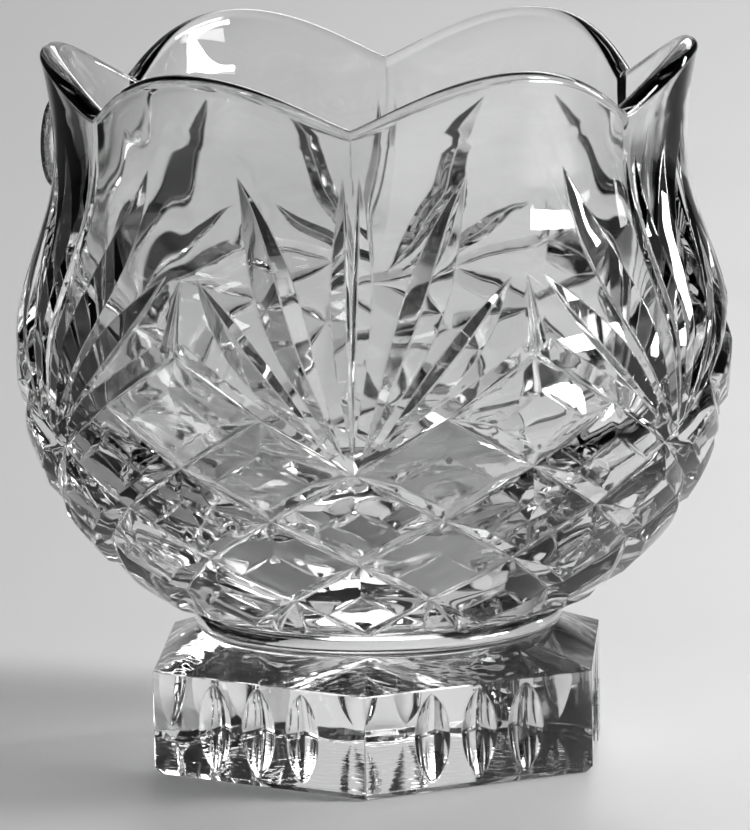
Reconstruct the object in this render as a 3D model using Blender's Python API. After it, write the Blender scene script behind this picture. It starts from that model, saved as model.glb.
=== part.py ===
"""Cut crystal vase: a six-petalled bowl with cut fans over a diamond lattice, on a hexagonal foot."""

import math

import bmesh
import bpy
from mathutils import Matrix, Vector
from mathutils.geometry import delaunay_2d_cdt

# Overall sizes, in metres
HEIGHT = 0.150
BELLY_RADIUS = 0.0748
GAP = 0.0003

# Foot and neck ring; the neck sets the foot's width across its flat sides
NECK_RADIUS = 0.038
NECK_HEIGHT = 0.004
NECK_BULGE = 0.0006
FOOT_SHOULDER = 0.0075
FOOT_SIDE_HEIGHT = 0.0217
FOOT_SLOPE_HEIGHT = 0.0050
FOOT_CHAMFER = 0.0014
LENS_COUNT = 3
LENS_PITCH = 0.0108
LENS_HALF_WIDTH = 0.0040
LENS_MARGIN = 0.00085
LENS_DEPTH = 0.0016
LENS_FULLNESS = 0.7

# Body of the bowl; heights are measured from the bowl's base or down from the rim
PETALS = 6
BELLY_RISE = 0.0561
BOWL_ROUNDNESS = 2.2
SKIRT_HEIGHT = 0.003
SKIRT_TUCK = 0.0036
SKIRT_LEAN = 0.8
WAIST_TUCK = 0.0089
WAIST_DROP = 0.0225
RIM_FLARE = 0.0030
NOTCH_DROP = 0.011
PETAL_SHARPNESS = 1.1
CREASE_DEPTH = 0.0035
CREASE_RUN = 0.0325
CREASE_LIMIT = 1.2
RIM_THICKNESS = 0.0046
RIM_ROUND = 0.0022
PETAL_FADE_DROP = 0.038
WAIST_WALL = 0.0065
BELLY_WALL = 0.0093
INSIDE_BELLY_LIFT = 0.0036
FLOOR_THICKNESS = 0.0117
LIP_DROP = 0.0028

# Diamond lattice: grooves cross every half step, one level apart
HALF_STEP = 15.0
SECTOR = 30.0
LATTICE_RISE = 0.0391
LEVEL_RISE = 0.01119
LEVEL_GROWTH = 0.00033
LATTICE_PEAK = 2
GROOVE_DEPTH = 0.0021
GROOVE_UPPER = 0.30
GROOVE_LOWER = 0.18
GROOVE_FADE = 0.5

# Fan leaves: name, angle of the tip, drop of the tip, half width on either side
TIP_DROP = 0.009
LEAVES = (
    ("inner", 1.5, TIP_DROP, 0.0009, 0.0032),
    ("middle", 20.5, TIP_DROP, 0.0044, 0.0044),
    ("outer", 27.0, TIP_DROP + 0.0205, 0.0030, 0.0032),
)
TIP_MARGIN = 0.0025
LEAF_SLOPE = 0.85
LEAF_START = 0.004
LEAF_SWELL = 1.25
STEM_HALF_WIDTH = 0.0016

# Labels
ROUND_LABEL_RADIUS = 0.0095
ROUND_LABEL_ANGLE = -101.0
ROUND_LABEL_LIFT = 0.0008
ROUND_LABEL_THICKNESS = 0.0009
FOOT_LABEL_THICKNESS = 0.0003
FOOT_LABEL_WIDTH = 0.014
FOOT_LABEL_HEIGHT = 0.011
FOOT_LABEL_BOTTOM = 0.0022

# How finely the surfaces are divided
LEAF_STEPS = 7
LENS_STEPS = 10
FACE_COLUMNS = 8
GRID_ROWS = 26
CLEARANCE = 0.11
DEGREES_PER_LEVEL = 8.6
RIM_COLUMNS = 6
RIM_ROWS = 4
PETAL_ROWS = 4
INSIDE_ROWS = 8
ROW_CROWDING = 1.3
NECK_COLUMNS = 48
LABEL_SIDES = 48
LABEL_RINGS = 8
RIM_LEVELS = 1.1
SLOPE_STEP = 0.0002
WELD = 0.000002

# Sizes that follow from the ones above
FOOT_APOTHEM = NECK_RADIUS + FOOT_SHOULDER
FOOT_TOP = FOOT_SIDE_HEIGHT + FOOT_SLOPE_HEIGHT
LENS_HALF_HEIGHT = (FOOT_SIDE_HEIGHT - FOOT_CHAMFER) / 2 - LENS_MARGIN
BOWL_BASE = FOOT_TOP + GAP + NECK_HEIGHT + GAP
BASE_RADIUS = NECK_RADIUS - NECK_BULGE
BELLY_HEIGHT = BOWL_BASE + BELLY_RISE
BASE_SHARE = (1 - ((BASE_RADIUS + SKIRT_TUCK) / BELLY_RADIUS) ** 2) ** (1 / BOWL_ROUNDNESS)
BOWL_SPAN = BELLY_RISE / BASE_SHARE
WAIST_RADIUS = BELLY_RADIUS - WAIST_TUCK
WAIST_HEIGHT = HEIGHT - WAIST_DROP
CREASE_START = WAIST_HEIGHT - CREASE_RUN
NOTCH_HEIGHT = HEIGHT - NOTCH_DROP
LIP_LINE = NOTCH_HEIGHT - LIP_DROP
PETAL_FADE = HEIGHT - PETAL_FADE_DROP
INSIDE_WAIST_RADIUS = WAIST_RADIUS - WAIST_WALL
INSIDE_BELLY_RADIUS = BELLY_RADIUS - BELLY_WALL
INSIDE_BELLY_HEIGHT = BELLY_HEIGHT + INSIDE_BELLY_LIFT
INSIDE_BOTTOM = BOWL_BASE + FLOOR_THICKNESS
LEVEL_HEIGHT = BOWL_BASE + LATTICE_RISE

for old in list(bpy.data.objects):
    bpy.data.objects.remove(old, do_unlink=True)


def material(name, colour, roughness):
    made = bpy.data.materials.new(name)
    made.use_nodes = True
    shader = made.node_tree.nodes["Principled BSDF"]
    shader.inputs["Base Color"].default_value = (*colour, 1.0)
    shader.inputs["Roughness"].default_value = roughness
    shader.inputs["Metallic"].default_value = 0.0
    return made


def level_height(level):
    """Height of a lattice level above the table."""
    return LEVEL_HEIGHT + LEVEL_RISE * level + LEVEL_GROWTH * level * level


def height_level(height):
    drop = LEVEL_HEIGHT - height
    root = math.sqrt(LEVEL_RISE**2 - 4 * LEVEL_GROWTH * drop)
    return (root - LEVEL_RISE) / (2 * LEVEL_GROWTH)


def body_radius(z):
    """Outside radius of the uncut body, at the middle of a petal."""
    if z < BELLY_HEIGHT:
        fall = min((BELLY_HEIGHT - z) / BOWL_SPAN, 1.0) ** BOWL_ROUNDNESS
        tuck = max(0.0, 1 - (z - BOWL_BASE) / SKIRT_HEIGHT)
        return BELLY_RADIUS * math.sqrt(1 - fall) - SKIRT_TUCK * tuck * tuck
    if z < WAIST_HEIGHT:
        part = (z - BELLY_HEIGHT) / (WAIST_HEIGHT - BELLY_HEIGHT)
        return WAIST_RADIUS + WAIST_TUCK * (1 + math.cos(math.pi * part)) / 2
    part = (z - WAIST_HEIGHT) / WAIST_DROP
    return WAIST_RADIUS + RIM_FLARE * part * part


def bulge(angle):
    """How far round a petal an angle lies: 0 at a crease, 1 at the middle of a petal."""
    return math.sin(math.pi / 2 * min(abs(angle) / SECTOR, 1.0))


def outer_radius(angle, z):
    start = max(0.0, (z - CREASE_START) / (NOTCH_HEIGHT - CREASE_START))
    return body_radius(z) - CREASE_DEPTH * min(start, CREASE_LIMIT) * (1 - bulge(angle))


def rim_height(angle):
    return NOTCH_HEIGHT + NOTCH_DROP * bulge(angle) ** PETAL_SHARPNESS


LEVEL_BASE = height_level(BOWL_BASE)
LEVEL_TIPS = height_level(NOTCH_HEIGHT - TIP_DROP + TIP_MARGIN)
LEVEL_RIM = LEVEL_TIPS + RIM_LEVELS
STEM_TOP = height_level(NOTCH_HEIGHT - max(leaf[2] for leaf in LEAVES))


def surface_height(angle, level):
    """Levels above the leaf tips follow the scalloped rim."""
    if level <= LEVEL_TIPS:
        return level_height(level)
    part = (level - LEVEL_TIPS) / (LEVEL_RIM - LEVEL_TIPS)
    tips = level_height(LEVEL_TIPS)
    return tips + part * (rim_height(angle) - RIM_ROUND - tips)


def leaf_frame(tip_angle, tip_drop):
    """Length and direction of a leaf, on the unrolled body."""
    tip = Vector((math.radians(tip_angle) * BELLY_RADIUS, NOTCH_HEIGHT - tip_drop - LEVEL_HEIGHT))
    return tip.length, tip.normalized()


def leaf_width(share):
    return math.sin(math.pi * min(max(share, 0.0), 1.0) ** LEAF_SWELL)


def leaf_depth(x, y, leaf):
    _, tip_angle, tip_drop, inside, outside = leaf
    length, along = leaf_frame(tip_angle, tip_drop)
    s = x * along.x + y * along.y
    n = x * along.y - y * along.x
    swell = leaf_width((s - LEAF_START) / (length - LEAF_START))
    half = (outside if n > 0 else inside) * swell
    if half < WELD or not LEAF_START < s < length or abs(n) > half:
        return 0.0
    return LEAF_SLOPE * (inside + outside) / 2 * swell * (1 - abs(n) / half)


def stem_depth(angle, level):
    if not LATTICE_PEAK < level < STEM_TOP:
        return 0.0
    across = math.radians(SECTOR - angle) * BELLY_RADIUS
    half = STEM_HALF_WIDTH * (STEM_TOP - level) / (STEM_TOP - LATTICE_PEAK)
    return max(0.0, LEAF_SLOPE * (half - across))


def groove_depth(angle, level):
    """Depth of the lattice grooves; p and q run along the two families of grooves."""
    p = (angle / HALF_STEP + level) / 2
    q = (angle / HALF_STEP - level) / 2
    if q < 0:
        return max(0.0, GROOVE_DEPTH * (1 + q / GROOVE_LOWER)) if p < LATTICE_PEAK else 0.0
    upper = min(math.ceil(p) - p, q - math.floor(q)) / GROOVE_UPPER
    lower = min(p - math.floor(p), math.ceil(q) - q) / GROOVE_LOWER
    return GROOVE_DEPTH * max(0.0, 1 - min(upper, lower))


def cut_depth(angle, level):
    x = math.radians(angle) * BELLY_RADIUS
    y = surface_height(angle, level) - LEVEL_HEIGHT
    if level < angle / HALF_STEP + 1e-9:
        return groove_depth(angle, level)
    deepest = max(leaf_depth(x, y, leaf) for leaf in LEAVES)
    return max(deepest, stem_depth(angle, level), groove_depth(angle, level))


def body_point(angle, level):
    """Point of the cut outside surface, sunk along the wall's own slope."""
    z = surface_height(angle, level)
    r = outer_radius(angle, z)
    above, below = outer_radius(angle, z + SLOPE_STEP), outer_radius(angle, z - SLOPE_STEP)
    lean = (above - below) / (2 * SLOPE_STEP)
    if z < BOWL_BASE + SKIRT_HEIGHT:
        lean = SKIRT_LEAN
    fade = min(1.0, (level - LEVEL_BASE) / GROOVE_FADE)
    sunk = cut_depth(angle, level) * fade
    size = math.hypot(1, lean)
    return r - sunk / size, z + sunk * lean / size


def clipped(start, end):
    """Part of a segment inside the half sector and above the base."""
    low, high = 0.0, 1.0
    dx, dy = end[0] - start[0], end[1] - start[1]
    for d, near, far in ((dx, -start[0], SECTOR - start[0]), (dy, LEVEL_BASE - start[1], 99.0)):
        if abs(d) < 1e-12:
            if near > 1e-9 or far < -1e-9:
                return None
            continue
        a, b = sorted((near / d, far / d))
        low, high = max(low, a), min(high, b)
    if high - low < 1e-6:
        return None
    return [(start[0] + dx * k, start[1] + dy * k) for k in (low, high)]


def lattice_lines():
    """Sides, hips and flat top of every diamond, as segments in angle and level."""
    def place(p, q):
        return ((p + q) * HALF_STEP, p - q)

    lines = []
    for i in range(-4, LATTICE_PEAK):
        for j in range(0, 5):
            corners = [place(*c) for c in ((i, j), (i + 1, j), (i + 1, j + 1), (i, j + 1))]
            left, right = i + GROOVE_LOWER, i + 1 - GROOVE_UPPER
            near, far = j + GROOVE_UPPER, j + 1 - GROOVE_LOWER
            top = [place(*c) for c in ((left, near), (right, near), (right, far), (left, far))]
            for k in range(4):
                lines.append((corners[k], corners[(k + 1) % 4]))
                lines.append((corners[k], top[k]))
                lines.append((top[k], top[(k + 1) % 4]))
    edge = [place(k / 4, -GROOVE_LOWER) for k in range(0, 4 * LATTICE_PEAK + 1)]
    lines += list(zip(edge, edge[1:]))
    return [line for line in (clipped(*line) for line in lines) if line]


def leaf_lines(steps):
    """Outline and valley of each leaf, as polylines in angle and level."""
    lines = []
    for _, tip_angle, tip_drop, inside, outside in LEAVES:
        length, along = leaf_frame(tip_angle, tip_drop)
        for side, half in ((-1, inside), (0, 0.0), (1, outside)):
            line = []
            for k in range(steps + 1):
                share = k / steps
                s = LEAF_START + share * (length - LEAF_START)
                n = side * half * leaf_width(share)
                x, y = along.x * s + along.y * n, along.y * s - along.x * n
                angle = math.degrees(x / BELLY_RADIUS)
                line.append((max(angle, 0.0), height_level(y + LEVEL_HEIGHT)))
            lines += list(zip(line, line[1:]))
    side = SECTOR - math.degrees(STEM_HALF_WIDTH / BELLY_RADIUS)
    if STEM_TOP > LATTICE_PEAK:
        lines.append(((side, LATTICE_PEAK), (SECTOR, STEM_TOP)))
    return lines


def triangulated(segments, points, stretch=1.0):
    """Triangles that keep every given segment as an edge; stretch evens out the two directions."""
    where, edges, index = [], [], {}

    def add(point):
        key = (round(point[0], 5) + 0.0, round(point[1] * stretch, 5))
        if key not in index:
            index[key] = len(where)
            where.append(Vector(key))
        return index[key]

    for start, end in segments:
        a, b = add(start), add(end)
        if a != b:
            edges.append((a, b))
    for point in points:
        add(point)
    found = delaunay_2d_cdt(where, edges, [], 0, 1e-5)
    return [(x, y / stretch) for x, y in found[0]], [tuple(f) for f in found[2]]


def clear_of(point, segments):
    """True where a plain point stands far enough from every line of the pattern."""
    for (ax, ay), (bx, by) in segments:
        if abs(ax - bx) < 1e-9 and ax in (0.0, SECTOR) and point[0] == ax:
            continue
        ux, uy = (bx - ax) / DEGREES_PER_LEVEL, by - ay
        vx, vy = (point[0] - ax) / DEGREES_PER_LEVEL, point[1] - ay
        share = min(max((ux * vx + uy * vy) / (ux * ux + uy * uy), 0.0), 1.0)
        if math.hypot(vx - ux * share, vy - uy * share) < CLEARANCE:
            return False
    return True


def half_sector():
    """Outside wall of half a petal, as points in angle and level with its triangles."""
    segments = lattice_lines() + leaf_lines(LEAF_STEPS)
    step = SECTOR / RIM_COLUMNS
    for level in (LEVEL_BASE, LEVEL_RIM):
        row = [(k * step, level) for k in range(RIM_COLUMNS + 1)]
        segments += list(zip(row, row[1:]))
    for angle in (0.0, SECTOR):
        segments.append(((angle, LEVEL_BASE), (angle, LEVEL_RIM)))
    points = []
    for row in range(1, GRID_ROWS):
        level = LEVEL_BASE + (LEVEL_RIM - LEVEL_BASE) * row / GRID_ROWS
        points += [(k * step, level) for k in range(RIM_COLUMNS + 1)]
    points = [p for p in points if clear_of(p, segments)]
    return triangulated(segments, points, DEGREES_PER_LEVEL)


def inside_radius(z):
    """Smooth round inside wall."""
    if z < INSIDE_BELLY_HEIGHT:
        fall = (INSIDE_BELLY_HEIGHT - z) / (INSIDE_BELLY_HEIGHT - INSIDE_BOTTOM)
        return INSIDE_BELLY_RADIUS * math.sqrt(max(0.0, 1 - fall**BOWL_ROUNDNESS))
    part = (z - INSIDE_BELLY_HEIGHT) / (LIP_LINE - INSIDE_BELLY_HEIGHT)
    drop = INSIDE_BELLY_RADIUS - INSIDE_WAIST_RADIUS
    return INSIDE_WAIST_RADIUS + drop * (1 + math.cos(math.pi * min(part, 1.0))) / 2


def rim_rows(angle):
    """Rounded rim and inside wall at one angle; near the rim the inside follows the petals."""
    edge = rim_height(angle) - RIM_ROUND
    middle = outer_radius(angle, edge) - RIM_THICKNESS / 2
    rows = []
    for k in range(1, RIM_ROWS + 1):
        turn = math.pi * k / RIM_ROWS
        rows.append((middle + RIM_THICKNESS / 2 * math.cos(turn), edge + RIM_ROUND * math.sin(turn)))
    for k in range(1, PETAL_ROWS + 1):
        share = 1 - k / PETAL_ROWS
        z = PETAL_FADE + (edge - PETAL_FADE) * share
        follow = share * share * (3 - 2 * share)
        petal = outer_radius(angle, z) - RIM_THICKNESS
        rows.append((inside_radius(z) + (petal - inside_radius(z)) * follow, z))
    for k in range(1, INSIDE_ROWS):
        turn = math.pi / 2 * k / INSIDE_ROWS
        z = INSIDE_BOTTOM + (PETAL_FADE - INSIDE_BOTTOM) * math.cos(turn) ** ROW_CROWDING
        rows.append((inside_radius(z), z))
    return rows


def edge_order(points, level):
    """Points of one edge of the half sector, from the crease round to the middle of the petal."""
    found = [k for k, point in enumerate(points) if abs(point[1] - level) < 2e-6]
    return sorted(found, key=lambda k: points[k][0])


def polar(radius, degrees, z):
    turn = math.radians(degrees)
    return Vector((radius * math.sin(turn), -radius * math.cos(turn), z))


def finish(bm, name, slot, sharp=30):
    bmesh.ops.remove_doubles(bm, verts=bm.verts, dist=WELD)
    bmesh.ops.dissolve_degenerate(bm, dist=WELD, edges=bm.edges)
    bmesh.ops.triangulate(bm, faces=bm.faces)
    bmesh.ops.recalc_face_normals(bm, faces=bm.faces)
    mesh = bpy.data.meshes.new(name)
    bm.to_mesh(mesh)
    bm.free()
    made = bpy.data.objects.new(name, mesh)
    bpy.context.scene.collection.objects.link(made)
    mesh.materials.append(slot)
    mesh.shade_smooth()
    mesh.set_sharp_from_angle(angle=math.radians(sharp))
    return made


def build_bowl(slot):
    bm = bmesh.new()
    points, triangles = half_sector()
    floor = bm.verts.new((0, 0, BOWL_BASE))
    bottom = bm.verts.new((0, 0, INSIDE_BOTTOM))
    for petal in range(PETALS):
        for side in (1, -1):
            def spot(angle, r, z):
                return bm.verts.new(polar(r, 2 * SECTOR * petal + side * angle, z))

            wall = [spot(angle, *body_point(angle, level)) for angle, level in points]
            for a, b, c in triangles:
                bm.faces.new((wall[a], wall[b], wall[c]))
            base = [wall[k] for k in edge_order(points, LEVEL_BASE)]
            for a, b in zip(base, base[1:]):
                bm.faces.new((floor, a, b))
            columns = []
            for k in edge_order(points, LEVEL_RIM):
                angle = points[k][0]
                columns.append([wall[k]] + [spot(angle, r, z) for r, z in rim_rows(angle)])
            for near, far in zip(columns, columns[1:]):
                for a, b, c, d in zip(near, far, far[1:], near[1:]):
                    bm.faces.new((a, b, c, d))
                bm.faces.new((near[-1], far[-1], bottom))
    return finish(bm, "bowl", slot)


def build_collar(slot):
    """Neck ring: a short disc with a gently rounded edge."""
    bm = bmesh.new()
    rows = ((-NECK_BULGE, 0.0), (0.0, 0.25), (NECK_BULGE / 2, 0.5), (0.0, 0.75), (-NECK_BULGE, 1.0))
    turns = [360 * k / NECK_COLUMNS for k in range(NECK_COLUMNS)]
    rings = []
    for grow, share in rows:
        z = FOOT_TOP + GAP + NECK_HEIGHT * share
        rings.append([bm.verts.new(polar(NECK_RADIUS + grow, turn, z)) for turn in turns])
    for lower, upper in zip(rings, rings[1:]):
        for k in range(NECK_COLUMNS):
            m = (k + 1) % NECK_COLUMNS
            bm.faces.new((lower[k], lower[m], upper[m], upper[k]))
    bm.faces.new(rings[0])
    bm.faces.new(rings[-1])
    return finish(bm, "collar", slot)


def lens_width(up):
    """Half width of a lens cut; up runs from -1 at its lower tip to 1 at its upper tip."""
    return LENS_HALF_WIDTH * max(0.0, 1 - up * up) ** LENS_FULLNESS


def side_lines(centres):
    """Edges of half a side of the foot and the curves of its lens cuts, in millimetres."""
    half_side = FOOT_APOTHEM * math.tan(math.radians(SECTOR))
    low, high = FOOT_CHAMFER, FOOT_SIDE_HEIGHT
    segments = [((x, low), (x, high)) for x in (0.0, half_side)]
    for z in (low, high):
        row = [(half_side * k / FACE_COLUMNS, z) for k in range(FACE_COLUMNS + 1)]
        segments += list(zip(row, row[1:]))
    for centre in centres:
        for side in (-1, -0.5, 0, 0.5, 1):
            if centre + side * LENS_HALF_WIDTH < -WELD:
                continue
            line = []
            for k in range(LENS_STEPS + 1):
                up = math.cos(math.pi * k / LENS_STEPS)
                line.append((centre + side * lens_width(up), (low + high) / 2 + LENS_HALF_HEIGHT * up))
            segments += list(zip(line, line[1:]))
    return [[(x * 1000, z * 1000) for x, z in segment] for segment in segments]


def lens_depth(x, z, centres):
    up = (z - (FOOT_CHAMFER + FOOT_SIDE_HEIGHT) / 2) / LENS_HALF_HEIGHT
    wide = lens_width(up)
    if wide < WELD:
        return 0.0
    deepest = max(1 - ((x - centre) / wide) ** 2 for centre in centres)
    return max(0.0, LENS_DEPTH * (1 - up * up) * deepest)


def build_foot(slot):
    """Hexagonal foot: lens cuts on every side, chamfered edges and a sloping top up to the neck."""
    centres = [k * LENS_PITCH for k in range(LENS_COUNT // 2 + 1)]
    flat, triangles = triangulated(side_lines(centres), ())
    flat = [(x / 1000, z / 1000) for x, z in flat]
    half_side = FOOT_APOTHEM * math.tan(math.radians(SECTOR))
    shrink = (FOOT_APOTHEM - FOOT_CHAMFER) / FOOT_APOTHEM
    bm = bmesh.new()
    floor = bm.verts.new((0, 0, 0))
    peak = bm.verts.new((0, 0, FOOT_TOP))
    for face in range(PETALS):
        turn = Matrix.Rotation(math.radians(2 * SECTOR * face + SECTOR), 3, "Z")
        for side in (1, -1):
            def spot(x, depth, z):
                return bm.verts.new(turn @ Vector((side * x, depth - FOOT_APOTHEM, z)))

            wall = [spot(x, lens_depth(x, z, centres), z) for x, z in flat]
            for a, b, c in triangles:
                bm.faces.new((wall[a], wall[b], wall[c]))
            lines = []
            for k in range(FACE_COLUMNS + 1):
                x = half_side * k / FACE_COLUMNS
                way = math.atan2(x, FOOT_APOTHEM)
                across, out = NECK_RADIUS * math.sin(way), NECK_RADIUS * math.cos(way)
                under = spot(x, 0.0, FOOT_CHAMFER), spot(x * shrink, FOOT_CHAMFER, 0.0), floor
                over = spot(x, 0.0, FOOT_SIDE_HEIGHT), spot(across, FOOT_APOTHEM - out, FOOT_TOP), peak
                lines.append((under, over))
            for near, far in zip(lines, lines[1:]):
                for (a, b, tip), (c, d, _) in zip(near, far):
                    bm.faces.new((a, c, d, b))
                    bm.faces.new((b, d, tip))
    return finish(bm, "foot", slot, sharp=24)


def build_round_label(slot):
    """Round film label standing flat across the waist, just clear of the glass."""
    turn = math.radians(ROUND_LABEL_ANGLE)
    outward = Vector((math.sin(turn), -math.cos(turn), 0))
    along = Vector((math.cos(turn), math.sin(turn), 0))
    reach = 0.0
    for ring in range(1, LABEL_RINGS + 1):
        for k in range(LABEL_SIDES):
            spin = 2 * math.pi * k / LABEL_SIDES
            radius = ROUND_LABEL_RADIUS * ring / LABEL_RINGS
            x, z = radius * math.cos(spin), WAIST_HEIGHT + radius * math.sin(spin)
            angle = ROUND_LABEL_ANGLE + math.degrees(math.atan2(x, BELLY_RADIUS))
            near = abs((angle + SECTOR) % (2 * SECTOR) - SECTOR)
            reach = max(reach, math.sqrt(outer_radius(near, z) ** 2 - x * x))
    back_face = reach + GAP + ROUND_LABEL_LIFT
    bm = bmesh.new()
    back, front = [], []
    for k in range(LABEL_SIDES):
        spin = 2 * math.pi * k / LABEL_SIDES
        spot = along * ROUND_LABEL_RADIUS * math.cos(spin)
        spot += Vector((0, 0, WAIST_HEIGHT + ROUND_LABEL_RADIUS * math.sin(spin)))
        back.append(bm.verts.new(spot + outward * back_face))
        front.append(bm.verts.new(spot + outward * (back_face + ROUND_LABEL_THICKNESS)))
    for k in range(LABEL_SIDES):
        m = (k + 1) % LABEL_SIDES
        bm.faces.new((back[k], back[m], front[m], front[k]))
    bm.faces.new(back)
    bm.faces.new(front)
    return finish(bm, "rim_label", slot)


def build_foot_label(slot):
    bm = bmesh.new()
    bmesh.ops.create_cube(bm, size=1.0)
    size = Vector((FOOT_LABEL_THICKNESS, FOOT_LABEL_WIDTH, FOOT_LABEL_HEIGHT))
    out = FOOT_APOTHEM + GAP + FOOT_LABEL_THICKNESS / 2
    middle = Vector((out, 0, FOOT_LABEL_BOTTOM + FOOT_LABEL_HEIGHT / 2))
    for vert in bm.verts:
        vert.co = Vector(a * b for a, b in zip(vert.co, size)) + middle
    return finish(bm, "foot_label", slot)


body_glass = material("body_glass", (0.93, 0.95, 0.95), 0.03)
collar_glass = material("collar_glass", (0.91, 0.93, 0.93), 0.05)
foot_glass = material("foot_glass", (0.92, 0.94, 0.95), 0.04)
clear_film = material("clear_film", (0.86, 0.87, 0.87), 0.25)
paper_label = material("paper_label", (0.78, 0.78, 0.76), 0.55)

build_bowl(body_glass)
build_collar(collar_glass)
build_foot(foot_glass)
build_round_label(clear_film)
build_foot_label(paper_label)
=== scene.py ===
# %% [markdown]
# # A cut crystal vase
# The real object is one heavy piece of lead crystal: a six-petalled bowl, a short neck and a
# hexagonal foot, with two small stickers. The measured model is loaded first as a fixed frame.
# Everything made below stands in the same metres, so each piece can be compared with its solid.

# %% Load the frame
import math

import bmesh
import bpy
import numpy as np
from mathutils import Matrix, Vector
from mathutils.geometry import delaunay_2d_cdt


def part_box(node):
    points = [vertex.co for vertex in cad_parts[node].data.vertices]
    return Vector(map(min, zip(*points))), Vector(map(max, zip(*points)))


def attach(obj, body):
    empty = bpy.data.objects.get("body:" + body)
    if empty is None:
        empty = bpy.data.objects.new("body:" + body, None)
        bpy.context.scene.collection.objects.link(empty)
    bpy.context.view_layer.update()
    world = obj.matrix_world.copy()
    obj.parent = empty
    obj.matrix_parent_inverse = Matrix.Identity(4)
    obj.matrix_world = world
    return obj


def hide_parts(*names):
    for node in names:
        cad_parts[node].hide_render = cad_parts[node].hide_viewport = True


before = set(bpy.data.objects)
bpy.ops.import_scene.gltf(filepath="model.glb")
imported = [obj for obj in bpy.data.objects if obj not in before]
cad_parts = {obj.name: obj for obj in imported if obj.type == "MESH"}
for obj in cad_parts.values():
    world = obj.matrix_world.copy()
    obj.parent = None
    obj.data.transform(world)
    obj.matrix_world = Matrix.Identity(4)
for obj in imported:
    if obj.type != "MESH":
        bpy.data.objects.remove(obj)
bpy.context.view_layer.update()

# %% [markdown]
# ## Sizes of the bowl
# Glass only looks right when its wall has the right thickness, because every ray bends twice
# on its way through. So the outside and the inside are both drawn from the same sizes as the
# solid model, and only the steps between the points are finer.

# %% Sizes of the bowl
HEIGHT, BELLY_RADIUS, BELLY_HEIGHT = 0.150, 0.0748, 0.0874
WAIST_RADIUS, WAIST_HEIGHT, RIM_FLARE = 0.0659, 0.1275, 0.0030
BOWL_BASE, BOWL_ROUNDNESS, BOWL_SPAN, BOWL_LOWEST = 0.0313, 2.2, 0.066, 0.95
SKIRT_HEIGHT, SKIRT_TUCK, SKIRT_LEAN = 0.003, 0.0036, 0.8
PETALS, SECTOR, NOTCH_DROP, PETAL_SHARPNESS = 6, 30.0, 0.011, 1.1
CREASE_DEPTH, CREASE_START, CREASE_LIMIT = 0.0035, 0.095, 1.2
RIM_THICKNESS, RIM_ROUND, LIP_LINE = 0.0046, 0.0022, 0.1362


def body_radius(z):
    """Outside radius of the uncut body: an egg-like bowl, a waist and a slight flare."""
    if z < BELLY_HEIGHT:
        fall = min((BELLY_HEIGHT - z) / BOWL_SPAN, BOWL_LOWEST) ** BOWL_ROUNDNESS
        tuck = max(0.0, 1 - (z - BOWL_BASE) / SKIRT_HEIGHT)
        return BELLY_RADIUS * math.sqrt(1 - fall) - SKIRT_TUCK * tuck * tuck
    if z < WAIST_HEIGHT:
        part = (z - BELLY_HEIGHT) / (WAIST_HEIGHT - BELLY_HEIGHT)
        return WAIST_RADIUS + (BELLY_RADIUS - WAIST_RADIUS) * (1 + math.cos(math.pi * part)) / 2
    return WAIST_RADIUS + RIM_FLARE * ((z - WAIST_HEIGHT) / (HEIGHT - WAIST_HEIGHT)) ** 2


def bulge(angle):
    """0 at the crease between two petals, 1 at the middle of a petal."""
    return math.sin(math.pi / 2 * min(abs(angle) / SECTOR, 1.0))


def outer_radius(angle, z):
    start = max(0.0, (z - CREASE_START) / (HEIGHT - NOTCH_DROP - CREASE_START))
    return body_radius(z) - CREASE_DEPTH * min(start, CREASE_LIMIT) * (1 - bulge(angle))


def rim_height(angle):
    return HEIGHT - NOTCH_DROP * (1 - bulge(angle) ** PETAL_SHARPNESS)


print("belly", BELLY_RADIUS, "waist", WAIST_RADIUS, "petals", PETALS)

# %% [markdown]
# ## The lattice and its levels
# A cutter marks a lattice with two families of slanting lines. Here every line climbs one
# level for each half petal, so the whole pattern lives on a simple grid of angle and level.
# The diamonds grow a little towards the top, which the level heights take care of.

# %% Lattice
HALF_STEP, LATTICE_PEAK = 15.0, 2
LEVEL_HEIGHT, LEVEL_RISE, LEVEL_GROWTH = 0.0704, 0.01119, 0.00033
GROOVE_DEPTH, GROOVE_UPPER, GROOVE_LOWER = 0.0021, 0.30, 0.18
LEVEL_RIM = 6.0


def level_height(level):
    return LEVEL_HEIGHT + LEVEL_RISE * level + LEVEL_GROWTH * level * level


def height_level(height):
    root = math.sqrt(LEVEL_RISE**2 - 4 * LEVEL_GROWTH * (LEVEL_HEIGHT - height))
    return (root - LEVEL_RISE) / (2 * LEVEL_GROWTH)


def groove_depth(angle, level):
    """A V groove, gentle on its upper side and steep on its lower side."""
    p = (angle / HALF_STEP + level) / 2
    q = (angle / HALF_STEP - level) / 2
    if q < 0:
        return max(0.0, GROOVE_DEPTH * (1 + q / GROOVE_LOWER)) if p < LATTICE_PEAK else 0.0
    upper = min(math.ceil(p) - p, q - math.floor(q)) / GROOVE_UPPER
    lower = min(p - math.floor(p), math.ceil(q) - q) / GROOVE_LOWER
    return GROOVE_DEPTH * max(0.0, 1 - min(upper, lower))


LEVEL_BASE = height_level(BOWL_BASE)
print("lattice levels", round(LEVEL_BASE, 2), "to", LATTICE_PEAK)

# %% [markdown]
# ## The fan leaves
# Above the lattice each crease carries a fan of long leaf cuts, all starting at one point.
# A leaf is a shallow V, widest past its middle and running out to a point at both ends.

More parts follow.
